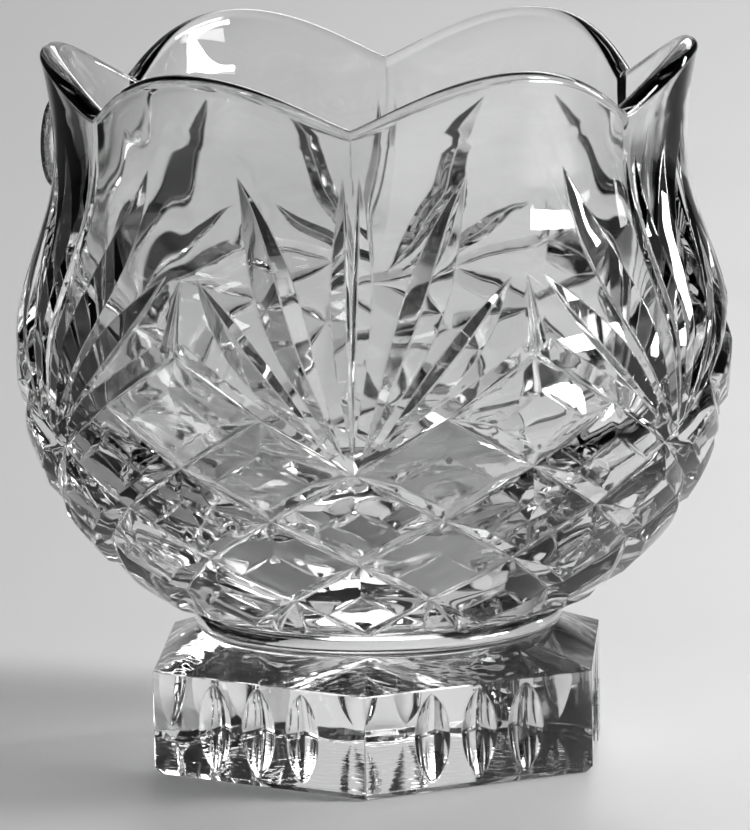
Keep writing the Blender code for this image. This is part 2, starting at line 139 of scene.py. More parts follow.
# %% Leaves
LEAF_TIP_LOW, LEAF_TIP_HIGH = 0.1095, 0.130
LEAVES = (
    ("inner", 1.5, LEAF_TIP_HIGH, 0.0009, 0.0032),
    ("middle", 20.5, LEAF_TIP_HIGH, 0.0044, 0.0044),
    ("outer", 27.0, LEAF_TIP_LOW, 0.0030, 0.0032),
)
LEAF_SLOPE, LEAF_START, LEAF_SWELL = 0.85, 0.004, 1.25
STEM_HALF_WIDTH, STEM_START = 0.0016, 0.06


def leaf_frame(tip_angle, tip_height):
    tip = Vector((math.radians(tip_angle) * BELLY_RADIUS, tip_height - LEVEL_HEIGHT))
    return tip.length, tip.normalized()


def leaf_width(share):
    return math.sin(math.pi * min(max(share, 0.0), 1.0) ** LEAF_SWELL)


def leaf_depth(x, y, leaf):
    _, tip_angle, tip_height, inside, outside = leaf
    length, along = leaf_frame(tip_angle, tip_height)
    s, n = x * along.x + y * along.y, x * along.y - y * along.x
    swell = leaf_width((s - LEAF_START) / (length - LEAF_START))
    half = (outside if n > 0 else inside) * swell
    if half < 1e-7 or not LEAF_START < s < length or abs(n) > half:
        return 0.0
    return LEAF_SLOPE * (inside + outside) / 2 * swell * (1 - abs(n) / half)


def stem_depth(angle, level):
    """Narrow upright cut from the top of a diamond towards the next fan."""
    low, high = LATTICE_PEAK, height_level(LEAF_TIP_LOW)
    if not low < level < high:
        return 0.0
    half = STEM_HALF_WIDTH * (high - level) / (high - low)
    return max(0.0, LEAF_SLOPE * (half - math.radians(SECTOR - angle) * BELLY_RADIUS))


print("leaves", [leaf[0] for leaf in LEAVES])

# %% [markdown]
# ## Sinking the cuts into the wall
# The pattern is flat so far. Each of its points is now wrapped round the body and pushed in
# along the wall's own slope by the depth of the cut there.

# %% Wrap the pattern
TIP_MARGIN, GROOVE_FADE, SLOPE_STEP = 0.0025, 0.5, 0.0002
LEVEL_TIPS = height_level(LEAF_TIP_HIGH + TIP_MARGIN)


def surface_height(angle, level):
    if level <= LEVEL_TIPS:
        return level_height(level)
    part = (level - LEVEL_TIPS) / (LEVEL_RIM - LEVEL_TIPS)
    tips = level_height(LEVEL_TIPS)
    return tips + part * (rim_height(angle) - RIM_ROUND - tips)


def cut_depth(angle, level):
    x = math.radians(angle) * BELLY_RADIUS
    y = surface_height(angle, level) - LEVEL_HEIGHT
    if level < angle / HALF_STEP + 1e-9:
        return groove_depth(angle, level)
    deepest = max(leaf_depth(x, y, leaf) for leaf in LEAVES)
    return max(deepest, stem_depth(angle, level), groove_depth(angle, level))


def body_point(angle, level):
    z = surface_height(angle, level)
    if z < BOWL_BASE + SKIRT_HEIGHT:
        lean = SKIRT_LEAN
    else:
        above, below = outer_radius(angle, z + SLOPE_STEP), outer_radius(angle, z - SLOPE_STEP)
        lean = (above - below) / (2 * SLOPE_STEP)
    sunk = cut_depth(angle, level) * min(1.0, (level - LEVEL_BASE) / GROOVE_FADE)
    size = math.hypot(1, lean)
    return outer_radius(angle, z) - sunk / size, z + sunk * lean / size


print("deepest cut", round(max(cut_depth(a, b / 10) for a in range(31) for b in range(-30, 50)), 5))

# %% [markdown]
# ## Lines of the pattern
# A crisp cut needs a row of points exactly along its edge and its valley. So the edges of all
# diamonds and leaves are collected as short lines, and the surface is woven between them.

# %% Lines of the pattern
LEAF_STEPS, EDGE_STEPS = 26, 8
LATTICE_ROWS, LATTICE_COLUMNS = range(-4, LATTICE_PEAK), range(5)


def clipped(start, end):
    """Part of a line inside half a petal and above the base."""
    low, high = 0.0, 1.0
    dx, dy = end[0] - start[0], end[1] - start[1]
    for d, near, far in ((dx, -start[0], SECTOR - start[0]), (dy, LEVEL_BASE - start[1], 99.0)):
        if abs(d) < 1e-12:
            if near > 1e-9 or far < -1e-9:
                return None
            continue
        a, b = sorted((near / d, far / d))
        low, high = max(low, a), min(high, b)
    if high - low < 1e-6:
        return None
    return [(start[0] + dx * k, start[1] + dy * k) for k in (low, high)]


def lattice_lines():
    def place(p, q):
        return ((p + q) * HALF_STEP, p - q)

    lines = []
    for i in LATTICE_ROWS:
        for j in LATTICE_COLUMNS:
            corners = [place(*c) for c in ((i, j), (i + 1, j), (i + 1, j + 1), (i, j + 1))]
            left, right = i + GROOVE_LOWER, i + 1 - GROOVE_UPPER
            near, far = j + GROOVE_UPPER, j + 1 - GROOVE_LOWER
            top = [place(*c) for c in ((left, near), (right, near), (right, far), (left, far))]
            for k in range(4):
                lines.append((corners[k], corners[(k + 1) % 4]))
                lines.append((corners[k], top[k]))
                lines.append((top[k], top[(k + 1) % 4]))
    shares = (LATTICE_PEAK * k / EDGE_STEPS for k in range(EDGE_STEPS + 1))
    edge = [place(share, -GROOVE_LOWER) for share in shares]
    lines += list(zip(edge, edge[1:]))
    return [line for line in (clipped(*line) for line in lines) if line]


def leaf_lines():
    lines = []
    for _, tip_angle, tip_height, inside, outside in LEAVES:
        length, along = leaf_frame(tip_angle, tip_height)
        for side, half in ((-1, inside), (0, 0.0), (1, outside)):
            line = []
            for k in range(LEAF_STEPS + 1):
                s = LEAF_START + k / LEAF_STEPS * (length - LEAF_START)
                n = side * half * leaf_width(k / LEAF_STEPS)
                x, y = along.x * s + along.y * n, along.y * s - along.x * n
                angle = math.degrees(x / BELLY_RADIUS)
                line.append((max(angle, 0.0), height_level(y + LEVEL_HEIGHT)))
            lines += list(zip(line, line[1:]))
    side = SECTOR - math.degrees(STEM_HALF_WIDTH / BELLY_RADIUS)
    lines.append(((side, LATTICE_PEAK + STEM_START), (SECTOR, height_level(LEAF_TIP_LOW))))
    return lines


print("pattern lines:", len(lattice_lines()) + len(leaf_lines()))

# %% [markdown]
# ## Weaving half a petal
# Half a petal is enough, because mirrored and turned copies make the whole bowl. Plain points
# fill the space between the lines, and a constrained triangulation keeps every line an edge.

# %% Weave half a petal
COLUMNS, ROWS, CLEARANCE, DEGREES_PER_LEVEL = 40, 126, 0.03, 8.6


def woven(segments, points, stretch=1.0):
    """Triangles that keep every segment as an edge."""
    where, edges, index = [], [], {}

    def add(point):
        key = (round(point[0], 5) + 0.0, round(point[1] * stretch, 5))
        if key not in index:
            index[key] = len(where)
            where.append(Vector(key))
        return index[key]

    for start, end in segments:
        a, b = add(start), add(end)
        if a != b:
            edges.append((a, b))
    for point in points:
        add(point)
    found = delaunay_2d_cdt(where, edges, [], 0, 1e-5)
    return [(x, y / stretch) for x, y in found[0]], [tuple(f) for f in found[2]]


def clear_points(points, segments):
    """Plain points that stand far enough from every line of the pattern."""
    p = np.array(points)
    p[:, 0] /= DEGREES_PER_LEVEL
    near = np.full(len(p), 9.0)
    for (ax, ay), (bx, by) in segments:
        a = np.array((ax / DEGREES_PER_LEVEL, ay))
        d = np.array((bx / DEGREES_PER_LEVEL, by)) - a
        along = np.clip((p - a) @ d / (d @ d), 0, 1)
        near = np.minimum(near, np.linalg.norm(p - a - along[:, None] * d, axis=1))
    return [points[k] for k in np.flatnonzero(near > CLEARANCE)]


def half_petal():
    segments = lattice_lines() + leaf_lines()
    step = SECTOR / COLUMNS
    plain = []
    for row in range(1, ROWS):
        level = LEVEL_BASE + (LEVEL_RIM - LEVEL_BASE) * row / ROWS
        shift = 0.5 * step * (row % 2)
        plain += [(shift + k * step, level) for k in range(1, COLUMNS)]
    plain = clear_points(plain, segments)
    for level in (LEVEL_BASE, LEVEL_RIM):
        row = [(k * step, level) for k in range(COLUMNS + 1)]
        segments += list(zip(row, row[1:]))
    for angle in (0.0, SECTOR):
        column = [(angle, LEVEL_BASE + (LEVEL_RIM - LEVEL_BASE) * k / ROWS) for k in range(ROWS + 1)]
        segments += list(zip(column, column[1:]))
    return woven(segments, plain, DEGREES_PER_LEVEL)


PATTERN, PATTERN_FACES = half_petal()
print("half a petal:", len(PATTERN), "points", len(PATTERN_FACES), "triangles")

# %% [markdown]
# ## The inside wall and the rim
# The inside is smooth, like the plunger that pressed it. The rim is polished round and rises
# and falls with the petals, and a faint line inside shows where the polishing stopped.

# %% Inside wall and rim
INSIDE_WAIST_RADIUS, INSIDE_BELLY_RADIUS = 0.0594, 0.0655
INSIDE_BELLY_HEIGHT, INSIDE_BOTTOM = 0.091, 0.043
PETAL_FADE, LIP_RISE, LIP_SLOPE = 0.112, 0.0006, 0.0006
RIM_STEPS, LIP_STEPS, INSIDE_STEPS, FLOOR_SPREAD = 18, 24, 30, 1.3


def inside_radius(z):
    if z < INSIDE_BELLY_HEIGHT:
        fall = (INSIDE_BELLY_HEIGHT - z) / (INSIDE_BELLY_HEIGHT - INSIDE_BOTTOM)
        return INSIDE_BELLY_RADIUS * math.sqrt(max(0.0, 1 - fall**BOWL_ROUNDNESS))
    part = (z - INSIDE_BELLY_HEIGHT) / (LIP_LINE - INSIDE_BELLY_HEIGHT)
    drop = INSIDE_BELLY_RADIUS - INSIDE_WAIST_RADIUS
    return INSIDE_WAIST_RADIUS + drop * (1 + math.cos(math.pi * min(part, 1.0))) / 2


def rim_rows(angle):
    """The rounded rim, then the inside wall down to the floor of the bowl."""
    edge = rim_height(angle) - RIM_ROUND
    middle = outer_radius(angle, edge) - RIM_THICKNESS / 2
    rows = []
    for k in range(1, RIM_STEPS + 1):
        turn = math.pi * k / RIM_STEPS
        rows.append((middle + RIM_THICKNESS / 2 * math.cos(turn), edge + RIM_ROUND * math.sin(turn)))
    for k in range(1, LIP_STEPS + 1):
        z = edge + (PETAL_FADE - edge) * k / LIP_STEPS
        follow = (z - PETAL_FADE) / (edge - PETAL_FADE)
        follow = follow * follow * (3 - 2 * follow)
        petal = outer_radius(angle, z) - RIM_THICKNESS
        lip = LIP_RISE * min(1.0, max(0.0, (z - LIP_LINE) / LIP_SLOPE))
        rows.append((inside_radius(z) + (petal - inside_radius(z)) * follow - lip * (1 - follow), z))
    for k in range(1, INSIDE_STEPS):
        turn = math.pi / 2 * k / INSIDE_STEPS
        z = INSIDE_BOTTOM + (PETAL_FADE - INSIDE_BOTTOM) * math.cos(turn) ** FLOOR_SPREAD
        rows.append((inside_radius(z), z))
    return rows


print("wall at the belly", round(BELLY_RADIUS - INSIDE_BELLY_RADIUS, 4))

# %% [markdown]
# ## Making a mesh
# All pieces go through the same last steps: weld the seams, point every face outwards, shade
# smooth, and keep a crisp edge wherever two faces meet at a clear angle.

# %% Mesh helpers
WELD, CUT_ANGLE, RING_ANGLE, FILM_ANGLE = 0.000002, 12, 25, 40


def polar(radius, degrees, z):
    turn = math.radians(degrees)
    return Vector((radius * math.sin(turn), -radius * math.cos(turn), z))


def finish_piece(bm, name, slots, sharp):
    bmesh.ops.remove_doubles(bm, verts=bm.verts, dist=WELD)
    bmesh.ops.dissolve_degenerate(bm, dist=WELD, edges=bm.edges)
    bmesh.ops.triangulate(bm, faces=bm.faces)
    bmesh.ops.recalc_face_normals(bm, faces=bm.faces)
    open_edges = sum(not edge.is_manifold for edge in bm.edges)
    mesh = bpy.data.meshes.new(name)
    bm.to_mesh(mesh)
    bm.free()
    piece = bpy.data.objects.new(name, mesh)
    bpy.context.scene.collection.objects.link(piece)
    for slot in slots:
        mesh.materials.append(slot)
    mesh.shade_smooth()
    mesh.set_sharp_from_angle(angle=math.radians(sharp))
    print(name, len(mesh.polygons), "triangles,", open_edges, "open edges")
    return piece


# %% [markdown]
# ## Helpers for finishes
# A finish is a small tree of nodes that ends in one shader. Every finish here needs the same few
# steps: a cloud of noise fixed to the piece, a value carried from one range to another, and a
# blend of two colours. They are written once, so that each finish reads as a short recipe.

# %% Helpers for finishes


def link(tree, a, a_out, b, b_in):
    tree.links.new(a.outputs[a_out], b.inputs[b_in])


def new_finish(name, ior):
    """A new material with its tree, its shader and the piece's own coordinates."""
    made = bpy.data.materials.new(name)
    made.use_nodes = True
    tree = made.node_tree
    shader = tree.nodes["Principled BSDF"]
    shader.inputs["IOR"].default_value = ior
    return made, tree, shader, tree.nodes.new("ShaderNodeTexCoord")


def noise(tree, place, scale, detail):
    cloud = tree.nodes.new("ShaderNodeTexNoise")
    cloud.inputs["Scale"].default_value = scale
    cloud.inputs["Detail"].default_value = detail
    link(tree, place, "Object", cloud, "Vector")
    return cloud


def ranged(tree, source, output, low, high, from_value, to_value, smooth=False):
    """A value carried from one range to another."""
    step = tree.nodes.new("ShaderNodeMapRange")
    step.interpolation_type = "SMOOTHSTEP" if smooth else "LINEAR"
    step.inputs["From Min"].default_value = low
    step.inputs["From Max"].default_value = high
    step.inputs["To Min"].default_value = from_value
    step.inputs["To Max"].default_value = to_value
    link(tree, source, output, step, "Value")
    return step


def blended(tree, source, output, first, second):
    """A colour that goes from the first to the second as the source goes from 0 to 1."""
    mix = tree.nodes.new("ShaderNodeMix")
    mix.data_type = "RGBA"
    for name, colour in (("A", first), ("B", second)):
        if isinstance(colour, tuple):
            mix.inputs[name].default_value = (*colour, 1.0)
        else:
            link(tree, colour, "Result", mix, name)
    link(tree, source, output, mix, "Factor")
    return mix


print("node helpers: link, new_finish, noise, ranged, blended")

# %% [markdown]
# ## Crystal
# Lead crystal is almost colourless and bends light strongly, about 1.55. Perfectly even glass
# looks like a computer picture, so the surface gets the slow waviness of hot-worked glass and
# a breath of haze that comes and goes. Polished cuts have no knife edges, so a bevel in the
# shading rounds every edge a little. The underside of the foot gets a finish of its own,
# hazier, because it is the one face that rubs on tables. The foot and its underside are tinted
# paler than the bowl, though they are the same glass: a painted brightening.

# %% Crystal
CRYSTAL_IOR, EDGE_ROUND, EDGE_SAMPLES = 1.55, 0.0005, 6
# The paler of these two tints is painted light: the foot is the same glass as the bowl, and this tint
# only brightens it.
CLEAR, PAINTED_BRIGHT_TINT = (0.92, 0.925, 0.925), (0.97, 0.975, 0.975)
HAZE_SCALE, HAZE_DETAIL, HAZE_FROM, HAZE_TO = 45.0, 3.0, 0.35, 0.75


def crystal(name, tint, haze, wave_scale, wave_height):
    made, tree, shader, place = new_finish(name, CRYSTAL_IOR)
    shader.inputs["Transmission Weight"].default_value = 1.0
    cloud = noise(tree, place, HAZE_SCALE, HAZE_DETAIL)
    gloss = ranged(tree, cloud, "Fac", HAZE_FROM, HAZE_TO, 0.0, haze)
    link(tree, gloss, "Result", shader, "Roughness")
    shade = blended(tree, cloud, "Fac", tint, (1.0, 1.0, 1.0))
    link(tree, shade, "Result", shader, "Base Color")
    bump = tree.nodes.new("ShaderNodeBump")
    bump.inputs["Distance"].default_value = wave_height
    link(tree, noise(tree, place, wave_scale, 1.0), "Fac", bump, "Height")
    round_edge = tree.nodes.new("ShaderNodeBevel")
    round_edge.samples = EDGE_SAMPLES
    round_edge.inputs["Radius"].default_value = EDGE_ROUND
    link(tree, round_edge, "Normal", bump, "Normal")
    link(tree, bump, "Normal", shader, "Normal")
    return made


cut_crystal = crystal("cut_crystal", CLEAR, 0.02, 50.0, 0.0005)
neck_crystal = crystal("neck_crystal", CLEAR, 0.02, 80.0, 0.0002)
# The foot and its worn underside take the paler tint, a painted brightening; the underside's haze is
# real wear.
foot_crystal = crystal("foot_crystal", PAINTED_BRIGHT_TINT, 0.03, 90.0, 0.0003)
worn_base_painted_bright = crystal("worn_base_painted_bright", PAINTED_BRIGHT_TINT, 0.12, 260.0, 0.00012)
print("finishes", [m.name for m in (cut_crystal, neck_crystal, foot_crystal, worn_base_painted_bright)])

# %% [markdown]
# ## The joints inside the glass
# Bowl, neck and foot are separate pieces in the library, but on the real vase the glass runs
# on through them. A face left in between would act as a mirror, so the faces where the pieces
# meet get a fully clear finish. Each piece stays a closed solid, and light passes unbent.

# %% Clear joint
clear_joint = bpy.data.materials.new("clear_joint")
clear_joint.use_nodes = True
clear_joint.node_tree.nodes["Principled BSDF"].inputs["Alpha"].default_value = 0.0
print("joint finish", clear_joint.name)

# %% [markdown]
# ## The bowl
# Twelve half petals make the outside, their top edges carry the rim and the inside wall, and
# two fans of triangles close the floor inside and the joint below.

# %% Build the bowl


def edge_order(points, level):
    found = [k for k, point in enumerate(points) if abs(point[1] - level) < 2e-6]
    return sorted(found, key=lambda k: points[k][0])


def build_bowl():
    bm = bmesh.new()
    joint = bm.verts.new((0, 0, BOWL_BASE))
    bottom = bm.verts.new((0, 0, INSIDE_BOTTOM))
    shape = [body_point(angle, level) for angle, level in PATTERN]
    low, high = edge_order(PATTERN, LEVEL_BASE), edge_order(PATTERN, LEVEL_RIM)
    rows = [rim_rows(PATTERN[k][0]) for k in high]
    for petal in range(PETALS):
        for side in (1, -1):
            turn = 2 * SECTOR * petal
            wall = [
                bm.verts.new(polar(r, turn + side * angle, z))
                for (angle, _), (r, z) in zip(PATTERN, shape)
            ]
            for a, b, c in PATTERN_FACES:
                bm.faces.new((wall[a], wall[b], wall[c]))
            for a, b in zip(low, low[1:]):
                bm.faces.new((joint, wall[a], wall[b])).material_index = 1
            columns = []
            for k, column in zip(high, rows):
                angle = turn + side * PATTERN[k][0]
                columns.append([wall[k]] + [bm.verts.new(polar(r, angle, z)) for r, z in column])
            for near, far in zip(columns, columns[1:]):
                for a, b, c, d in zip(near, far, far[1:], near[1:]):
                    bm.faces.new((a, b, c, d))
                bm.faces.new((near[-1], far[-1], bottom))
    return finish_piece(bm, "crystal_bowl", (cut_crystal, clear_joint), CUT_ANGLE)


bowl = build_bowl()
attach(bowl, "root")
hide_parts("bowl")

# %% [markdown]
# ## The neck
# A short ring with a softly rounded edge joins bowl and foot. It reaches exactly from the top
# of the foot to the base of the bowl, so that no slit of air is left between them.

# %% Build the neck
FOOT_TOP, JOINT_RADIUS, NECK_BULGE = 0.0267, 0.0374, 0.0012
RING_COLUMNS, RING_ROWS, RING_FULLNESS = 480, 8, 0.7


def build_neck():
    bm = bmesh.new()
    rings = []
    for row in range(RING_ROWS + 1):
        share = row / RING_ROWS
        r = JOINT_RADIUS + NECK_BULGE * math.sin(math.pi * share) ** RING_FULLNESS
        z = FOOT_TOP + (BOWL_BASE - FOOT_TOP) * share
        rings.append([bm.verts.new(polar(r, 360 * k / RING_COLUMNS, z)) for k in range(RING_COLUMNS)])
    for lower, upper in zip(rings, rings[1:]):
        for k in range(RING_COLUMNS):
            m = (k + 1) % RING_COLUMNS
            bm.faces.new((lower[k], lower[m], upper[m], upper[k]))
    for ring in (rings[0], rings[-1]):
        hub = bm.verts.new((0, 0, ring[0].co.z))
        for k in range(RING_COLUMNS):
            bm.faces.new((hub, ring[k], ring[(k + 1) % RING_COLUMNS])).material_index = 1
    return finish_piece(bm, "crystal_neck", (neck_crystal, clear_joint), RING_ANGLE)


neck = build_neck()
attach(neck, "root")
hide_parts("collar")

# %% [markdown]
# ## The foot
# Each side of the hexagon has three lens-shaped cuts, ground with a round wheel. A lens is
# drawn as a family of curves from tip to tip, so that the hollow between them is smooth.

# %% Build the foot
FOOT_CORNER_RADIUS, FOOT_SIDE_HEIGHT, FOOT_CHAMFER = 0.0525, 0.0217, 0.0014
LENS_COUNT, LENS_PITCH, LENS_HALF_WIDTH = 3, 0.0108, 0.0040
LENS_HALF_HEIGHT, LENS_DEPTH, LENS_FULLNESS = 0.0093, 0.0016, 0.7
LENS_STEPS, LENS_CURVES, FACE_COLUMNS, SLOPE_ROWS = 30, 8, 40, 4


def lens_width(up):
    return LENS_HALF_WIDTH * max(0.0, 1 - up * up) ** LENS_FULLNESS


def side_lines(half_side, low, high, centres):
    step = half_side / FACE_COLUMNS
    lines = [((x, low), (x, high)) for x in (0.0, half_side)]
    for z in (low, high):
        row = [(k * step, z) for k in range(FACE_COLUMNS + 1)]
        lines += list(zip(row, row[1:]))
    for centre in centres:
        for curve in range(-LENS_CURVES, LENS_CURVES + 1):
            if centre == 0.0 and curve < 0:
                continue
            line = []
            for k in range(LENS_STEPS + 1):
                up = math.cos(math.pi * k / LENS_STEPS)
                x = centre + curve / LENS_CURVES * lens_width(up)
                line.append((x, (low + high) / 2 + LENS_HALF_HEIGHT * up))
            lines += list(zip(line, line[1:]))
    return [[(x * 1000, z * 1000) for x, z in line] for line in lines]


def build_foot():
    apothem = FOOT_CORNER_RADIUS * math.cos(math.radians(SECTOR))
    half_side = FOOT_CORNER_RADIUS / 2
    low, high = FOOT_CHAMFER, FOOT_SIDE_HEIGHT
    centres = [k * LENS_PITCH for k in range(LENS_COUNT // 2 + 1)]
    flat, faces = woven(side_lines(half_side, low, high, centres), ())
    flat = [(x / 1000, z / 1000) for x, z in flat]

    def lens_depth(x, z):
        up = (z - (low + high) / 2) / LENS_HALF_HEIGHT
        wide = lens_width(up)
        if wide < WELD:
            return 0.0
        return max(0.0, max(LENS_DEPTH * (1 - up * up) * (1 - ((x - c) / wide) ** 2) for c in centres))

    bm = bmesh.new()
    floor = bm.verts.new((0, 0, 0))
    joint = bm.verts.new((0, 0, FOOT_TOP))
    for face in range(PETALS):
        turn = Matrix.Rotation(math.radians(2 * SECTOR * face + SECTOR), 3, "Z")
        for side in (1, -1):

            def spot(x, depth, z):
                return bm.verts.new(turn @ Vector((side * x, depth - apothem, z)))

            wall = [spot(x, lens_depth(x, z), z) for x, z in flat]
            for a, b, c in faces:
                bm.faces.new((wall[a], wall[b], wall[c]))
            under, over = [], []
            for k in range(FACE_COLUMNS + 1):
                x = k * half_side / FACE_COLUMNS
                shrink = (apothem - FOOT_CHAMFER) / apothem
                way = math.atan2(x, apothem)
                slope = [spot(x, 0.0, high)]
                for share in (row / SLOPE_ROWS for row in range(1, SLOPE_ROWS + 1)):
                    nx = x + (JOINT_RADIUS * math.sin(way) - x) * share
                    ny = (apothem - JOINT_RADIUS * math.cos(way)) * share
                    slope.append(spot(nx, ny, high + (FOOT_TOP - high) * share))
                under.append((spot(x, 0.0, low), spot(x * shrink, FOOT_CHAMFER, 0.0)))
                over.append(slope)
            for (a, b), (c, d) in zip(under, under[1:]):
                bm.faces.new((a, c, d, b))
                bm.faces.new((b, d, floor)).material_index = 2
            for near, far in zip(over, over[1:]):
                for a, b, c, d in zip(near, far, far[1:], near[1:]):
                    bm.faces.new((a, b, c, d))
                bm.faces.new((near[-1], far[-1], joint)).material_index = 1
    return finish_piece(bm, "crystal_foot", (foot_crystal, clear_joint, worn_base_painted_bright), CUT_ANGLE)


foot = build_foot()
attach(foot, "root")
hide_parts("foot")

# %% [markdown]
# ## Film for the labels
# Two small labels are stuck on the glass. They are cloudy film: a little light comes through,
# the cut rim looks darker, and the round one has a pale printed middle, left without lettering.
# The print is a matter of distance from the middle, so the finish measures that distance.

# %% Label film
FILM_IOR, FILM_CLEARNESS, FILM_FADE = 1.45, 0.75, 0.0006
FILM_GRAIN, GRAIN_HEIGHT = 900.0, 0.00005
PRINT_WHITE, FILM_GREY, RIM_GREY = (0.85, 0.85, 0.84), (0.62, 0.63, 0.63), (0.10, 0.10, 0.10)


def label_film(name, print_radius, rim_radius):
    made, tree, shader, place = new_finish(name, FILM_IOR)
    reach = tree.nodes.new("ShaderNodeVectorMath")
    reach.operation = "LENGTH"
    link(tree, place, "Object", reach, "Vector")
    print_end = print_radius + FILM_FADE
    inked = ranged(tree, reach, "Value", print_radius, print_end, 0.0, 1.0, True)
    clear = ranged(tree, reach, "Value", print_radius, print_end, 0.0, FILM_CLEARNESS, True)
    rim = ranged(tree, reach, "Value", rim_radius - FILM_FADE, rim_radius, 0.0, 1.0, True)
    tone = blended(tree, inked, "Result", PRINT_WHITE, FILM_GREY)
    cut = blended(tree, rim, "Result", tone, RIM_GREY)
    link(tree, cut, "Result", shader, "Base Color")
    link(tree, clear, "Result", shader, "Transmission Weight")
    cloud = noise(tree, place, FILM_GRAIN, 3.0)
    rough = ranged(tree, cloud, "Fac", 0.3, 0.7, 0.12, 0.40)
    link(tree, rough, "Result", shader, "Roughness")
    bump = tree.nodes.new("ShaderNodeBump")
    bump.inputs["Distance"].default_value = GRAIN_HEIGHT
    link(tree, cloud, "Fac", bump, "Height")
    link(tree, bump, "Normal", shader, "Normal")
    return made


print("film clearness", FILM_CLEARNESS)

# %% [markdown]
# ## The round label
# A punched disc of film, proud of the waist of the bowl. Punching rounds its rim over a little,
# so the edge is drawn with a small curve that catches a line of light.

# %% Build the round label
DISC_COLUMNS, DISC_EDGE_STEPS = 96, 8


def plate(outline, thickness, edge, name, slots):
    """A thin plate with a rounded edge: outline gives x and z for a pull-in from the edge."""
    bm = bmesh.new()
    rings = []
    for k in range(DISC_EDGE_STEPS + 1):
        turn = math.pi * k / DISC_EDGE_STEPS
        depth = thickness / 2 * math.cos(turn)
        spots = outline(edge * (1 - math.sin(turn)))
        rings.append([bm.verts.new((x, depth, z)) for x, z in spots])
    count = len(rings[0])
    for near, far in zip(rings, rings[1:]):
        for k in range(count):
            m = (k + 1) % count
            bm.faces.new((near[k], near[m], far[m], far[k]))
    for ring in (rings[0], rings[-1]):
        hub = bm.verts.new((0, ring[0].co.y, 0))
        for k in range(count):
            bm.faces.new((hub, ring[k], ring[(k + 1) % count]))
    return finish_piece(bm, name, slots, FILM_ANGLE)


def middle_of(node):
    low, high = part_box(node)
    return (low + high) / 2


ROUND_LABEL_RADIUS, ROUND_LABEL_THICKNESS, ROUND_LABEL_ANGLE = 0.0095, 0.0009, -101.0


def disc_outline(pull):
    radius = ROUND_LABEL_RADIUS - pull
    turns = [2 * math.pi * k / DISC_COLUMNS for k in range(DISC_COLUMNS)]
    return [(radius * math.cos(turn), radius * math.sin(turn)) for turn in turns]


disc_film = label_film("disc_film", 0.0052, ROUND_LABEL_RADIUS)
disc = plate(disc_outline, ROUND_LABEL_THICKNESS, 0.0003, "round_label", (disc_film,))
disc.location = middle_of("rim_label")
disc.rotation_euler.z = math.radians(ROUND_LABEL_ANGLE)
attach(disc, "root")
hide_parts("rim_label")

# %% [markdown]
# ## The small label on the foot
# A thin film rectangle with soft corners, pressed flat on one face of the foot. It carries no
# print, which a print radius below zero gives.

# %% Build the small label
SMALL_LABEL_WIDTH, SMALL_LABEL_HEIGHT, SMALL_LABEL_THICKNESS = 0.014, 0.011, 0.0003
LABEL_CORNER, CORNER_STEPS = 0.0015, 8


def small_outline(pull):
    spots = []
    for corner, (sx, sz) in enumerate(((1, 1), (-1, 1), (-1, -1), (1, -1))):
        for k in range(CORNER_STEPS + 1):
            turn = math.pi / 2 * (corner + k / CORNER_STEPS)
            reach = LABEL_CORNER - pull
            x = sx * (SMALL_LABEL_WIDTH / 2 - LABEL_CORNER) + reach * math.cos(turn)
            z = sz * (SMALL_LABEL_HEIGHT / 2 - LABEL_CORNER) + reach * math.sin(turn)
            spots.append((x, z))
    return spots


NO_PRINT = -0.0006
small_film = label_film("small_film", NO_PRINT, 0.0089)
small = plate(small_outline, SMALL_LABEL_THICKNESS, 0.0001, "small_label", (small_film,))
small.location = middle_of("foot_label")
small.rotation_euler.z = math.radians(90)
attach(small, "root")
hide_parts("foot_label")

# %% [markdown]
# ## Floor
# A sheet of pale paper runs away from the vase and gets wider with distance. Beyond its soft
# edges the floor is painted dark grey, a painted shade for the unlit studio around it. Glass
# shows whatever is around it, so this painted dark surround is what draws the dark lines in the
# cuts. The paper itself is slightly cloudy, never one flat tone.

# %% Floor
PAPER_DRIFT, PAPER_HALF_WIDTH, PAPER_FADE = 0.0625, (0.22, 1.06), 0.16
FLOOR_RADIUS, FLOOR_DROP, PAPER_IOR = 6.0, 0.0001, 1.5
# The last grey is painted shade: the floor beyond the paper is darkened to stand in for the unlit
# room.
PAPER_TONES, PAINTED_SURROUND_SHADE = ((0.76, 0.76, 0.76), (0.80, 0.80, 0.80)), (0.16, 0.16, 0.16)


def sums(tree, kind, first, second=None):
    made = tree.nodes.new("ShaderNodeMath")
    made.operation = kind
    link(tree, *first, made, 0)
    if second is not None:
        link(tree, *second, made, 1)
    return made


def paper_and_painted_shade():
    paint, tree, shader, place = new_finish("paper_and_painted_shade", PAPER_IOR)
    axes = tree.nodes.new("ShaderNodeSeparateXYZ")
    link(tree, place, "Object", axes, "Vector")
    reach = FLOOR_RADIUS
    drift = ranged(tree, axes, "Y", -reach, reach, -reach * PAPER_DRIFT, reach * PAPER_DRIFT)
    off = sums(tree, "ABSOLUTE", (sums(tree, "ADD", (axes, "X"), (drift, 0)), 0))
    half = ranged(tree, axes, "Y", 0.0, reach, *PAPER_HALF_WIDTH)
    past = sums(tree, "SUBTRACT", (off, 0), (half, 0))
    edge = ranged(tree, past, 0, 0.0, PAPER_FADE, 0.0, 1.0, True)
    cloud = noise(tree, place, 9.0, 4.0)
    paper = blended(tree, cloud, "Fac", *PAPER_TONES)
    # Painted shade: past the paper's edges the floor colour turns dark grey for the unlit room.
    shade = blended(tree, edge, "Result", paper, PAINTED_SURROUND_SHADE)
    link(tree, shade, "Result", shader, "Base Color")
    rough = ranged(tree, cloud, "Fac", 0.3, 0.7, 0.4, 0.5)
    link(tree, rough, "Result", shader, "Roughness")
    return paint


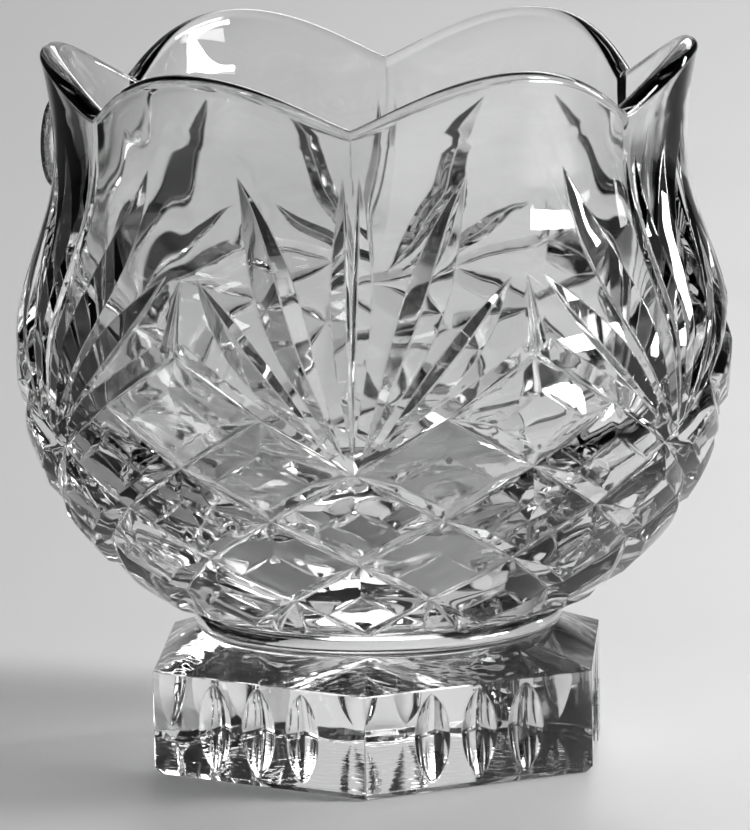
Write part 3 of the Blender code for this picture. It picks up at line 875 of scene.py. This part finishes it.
def build_floor():
    bm = bmesh.new()
    bmesh.ops.create_circle(bm, cap_ends=True, segments=96, radius=FLOOR_RADIUS)
    mesh = bpy.data.meshes.new("floor")
    bm.to_mesh(mesh)
    bm.free()
    made = bpy.data.objects.new("floor", mesh)
    bpy.context.scene.collection.objects.link(made)
    mesh.materials.append(paper_and_painted_shade())
    made.location.z = -FLOOR_DROP
    return made


floor = build_floor()
print("paper", PAPER_HALF_WIDTH, "m to each side, near and far")

# %% [markdown]
# ## Light
# Clear glass has no colour of its own, so it is lit by what it shows. A wide, low soft box on
# the right gives the bright patches and the long reflections, and a higher one throws the
# shadow to the left. A narrow box draws a streak along the right outline. The two behind only
# brighten the paper.

# %% Light


def soft_box(name, place, size, power, target):
    lamp = bpy.data.lights.new(name, "AREA")
    lamp.shape = "RECTANGLE"
    lamp.size, lamp.size_y = size
    lamp.energy = power
    made = bpy.data.objects.new(name, lamp)
    bpy.context.scene.collection.objects.link(made)
    made.location = place
    aim = Vector(target) - Vector(place)
    made.rotation_mode = "QUATERNION"
    made.rotation_quaternion = aim.to_track_quat("-Z", "Y")


VASE_MIDDLE, FAR_PAPER = (0.0, 0.0, 0.07), (0.4, 4.2, 0.0)
SOFT_BOXES = (
    ("key_box", (1.871, -0.430, 0.444), (0.95, 0.24), 28.0, VASE_MIDDLE),
    ("high_box", (1.491, -0.130, 1.240), (0.50, 0.50), 17.0, VASE_MIDDLE),
    ("rim_box", (1.15, 0.80, 0.45), (0.12, 0.5), 5.0, VASE_MIDDLE),
    ("back_box", (0.3, 1.9, 1.5), (1.6, 0.7), 3.0, VASE_MIDDLE),
    ("far_box", (0.9, 4.6, 2.2), (4.0, 1.5), 88.0, FAR_PAPER),
)
for box in SOFT_BOXES:
    soft_box(*box)
print("soft boxes:", len(bpy.data.lights))

# %% [markdown]
# ## Sky
# The rest of the room is a soft dome. It is pale behind the vase and dark at both sides and
# overhead, and that contrast gives cut glass its sparkle. Each fade is a smooth step of the
# direction a ray leaves in, and the fades are multiplied together.

# %% Sky
SKY_SHIFT, SKY_PALE, SKY_DIM, SKY_SIDE, SKY_FRONT = 0.06, 0.60, 0.06, 0.04, 0.10
HORIZON_PALE = 0.62
world = bpy.data.worlds.new("studio")
bpy.context.scene.world = world
world.use_nodes = True
tree = world.node_tree
sky = tree.nodes["Background"]
sky.inputs["Color"].default_value = (1.0, 1.0, 1.0, 1.0)
where = tree.nodes.new("ShaderNodeTexCoord")
parts = tree.nodes.new("ShaderNodeSeparateXYZ")
link(tree, where, "Generated", parts, "Vector")
middle = tree.nodes.new("ShaderNodeMath")
middle.inputs[1].default_value = SKY_SHIFT
link(tree, parts, "X", middle, 0)
across = sums(tree, "ABSOLUTE", (middle, 0))
top = ranged(tree, parts, "Z", 0.55, 0.80, SKY_PALE, SKY_DIM, True)
sides = ranged(tree, across, 0, 0.13, 0.30, 1.0, SKY_SIDE, True)
front = ranged(tree, parts, "Y", -0.3, 0.1, SKY_FRONT, 1.0, True)
dome = sums(tree, "MULTIPLY", (top, 0), (sums(tree, "MULTIPLY", (sides, 0), (front, 0)), 0))
low_band = ranged(tree, parts, "Z", 0.02, 0.06, HORIZON_PALE, 0.0, True)
horizon = sums(tree, "MULTIPLY", (low_band, 0), (sides, 0))
link(tree, sums(tree, "MAXIMUM", (dome, 0), (horizon, 0)), 0, sky, "Strength")
print("sky nodes:", len(tree.nodes))

# %% [markdown]
# ## Camera
# The camera looks slightly down through a long lens, a little to the left of straight on, and
# is rolled by about one degree. Everything is placed by three angles and a distance.

# %% Camera
CAMERA_TURN, CAMERA_PITCH, CAMERA_ROLL = 3.575, 9.770, -1.0315
CAMERA_DISTANCE, CAMERA_HEIGHT, CAMERA_LENS = 1.48532, 0.32668, 312.47


def place_camera():
    turn, pitch, roll = (math.radians(x) for x in (CAMERA_TURN, CAMERA_PITCH, CAMERA_ROLL))
    level = Vector((-math.sin(turn), math.cos(turn), 0))
    forward = level * math.cos(pitch) - Vector((0, 0, math.sin(pitch)))
    right = Vector((math.cos(turn), math.sin(turn), 0))
    up = right.cross(forward)
    x = right * math.cos(roll) + up * math.sin(roll)
    y = up * math.cos(roll) - right * math.sin(roll)
    lens = bpy.data.cameras.new("camera")
    lens.lens, lens.sensor_width = CAMERA_LENS, 36.0
    lens.clip_start, lens.clip_end = 0.05, 50.0
    made = bpy.data.objects.new("camera", lens)
    bpy.context.scene.collection.objects.link(made)
    frame_matrix = Matrix((x, y, -forward)).transposed().to_4x4()
    frame_matrix.translation = -level * CAMERA_DISTANCE + Vector((0, 0, CAMERA_HEIGHT))
    made.matrix_world = frame_matrix
    bpy.context.scene.camera = made


place_camera()
bpy.context.scene.view_settings.view_transform = "Standard"
print("camera", CAMERA_DISTANCE, "m away, lens", CAMERA_LENS, "mm")
